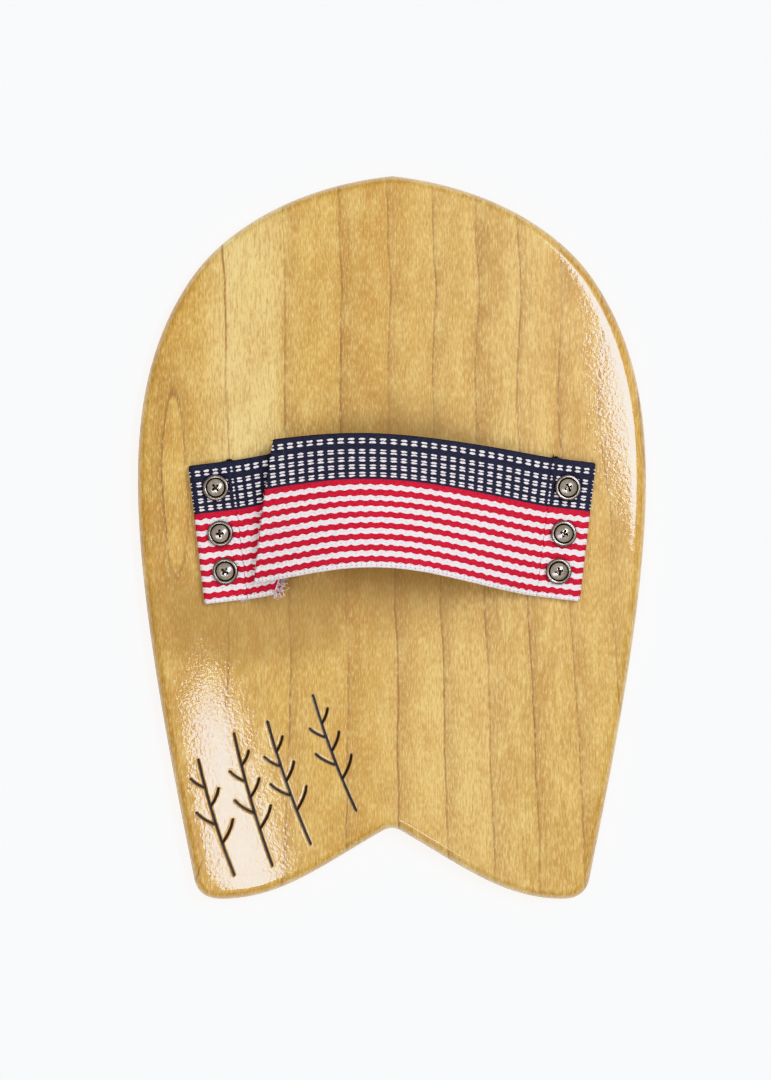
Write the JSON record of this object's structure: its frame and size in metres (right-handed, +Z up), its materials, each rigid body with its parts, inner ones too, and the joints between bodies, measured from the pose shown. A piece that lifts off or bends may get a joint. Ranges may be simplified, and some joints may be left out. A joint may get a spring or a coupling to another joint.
{
  "type": "bodysurfing handplane",
  "caption": "Wooden hand board for bodysurfing with a swallow tail and an adjustable striped webbing strap that arches over the hand.",
  "frame": {"origin": "middle of the board's outline, on the plane that its flat underside rests on", "axes": "+X to the right, +Y towards the nose, +Z up from the underside through the strap"},
  "size_m": [0.2144, 0.3046, 0.0535],
  "materials": {
    "wood": "clear gloss varnish over flat-sawn light hardwood",
    "webbing": "woven webbing: navy band with white dashes, then red and white stripes",
    "hook_tape": "black hook tape",
    "loop_tape": "black brushed loop tape",
    "thread": "clear to white polyester thread",
    "steel": "bright nickel-coloured stainless steel"
  },
  "bodies": {
    "board": {"board": "wood", "strap_anchor_right": "webbing", "strap_anchor_left": "webbing", "hem_stitch_right": "thread", "hem_stitch_left": "thread", "screw_right_nose": "steel", "screw_right_middle": "steel", "screw_right_tail": "steel", "screw_left_nose": "steel", "screw_left_middle": "steel", "screw_left_tail": "steel", "cup_washer_right_nose": "steel", "cup_washer_right_middle": "steel", "cup_washer_right_tail": "steel", "cup_washer_left_nose": "steel", "cup_washer_left_middle": "steel", "cup_washer_left_tail": "steel"},
    "main_strap": {"main_strap": "webbing", "hook_patch": "hook_tape", "hook_patch_stitch": "thread"},
    "short_tab": {"short_tab": "webbing", "loop_patch": "loop_tape", "loop_patch_stitch": "thread"}
  },
  "joints": [
    {"name": "strap_open", "type": "hinge", "parent": "board", "child": "main_strap", "pos_m": [0.063, 0.0032, 0.01906], "axis": [0.1201, 0.9927, -0.0039], "range_deg": [0, 120]},
    {"name": "tab_fold", "type": "hinge", "parent": "board", "child": "short_tab", "pos_m": [-0.063, 0.0032, 0.01726], "axis": [-0.1201, 0.9927, -0.0039], "range_deg": [0, 14]}
  ]
}
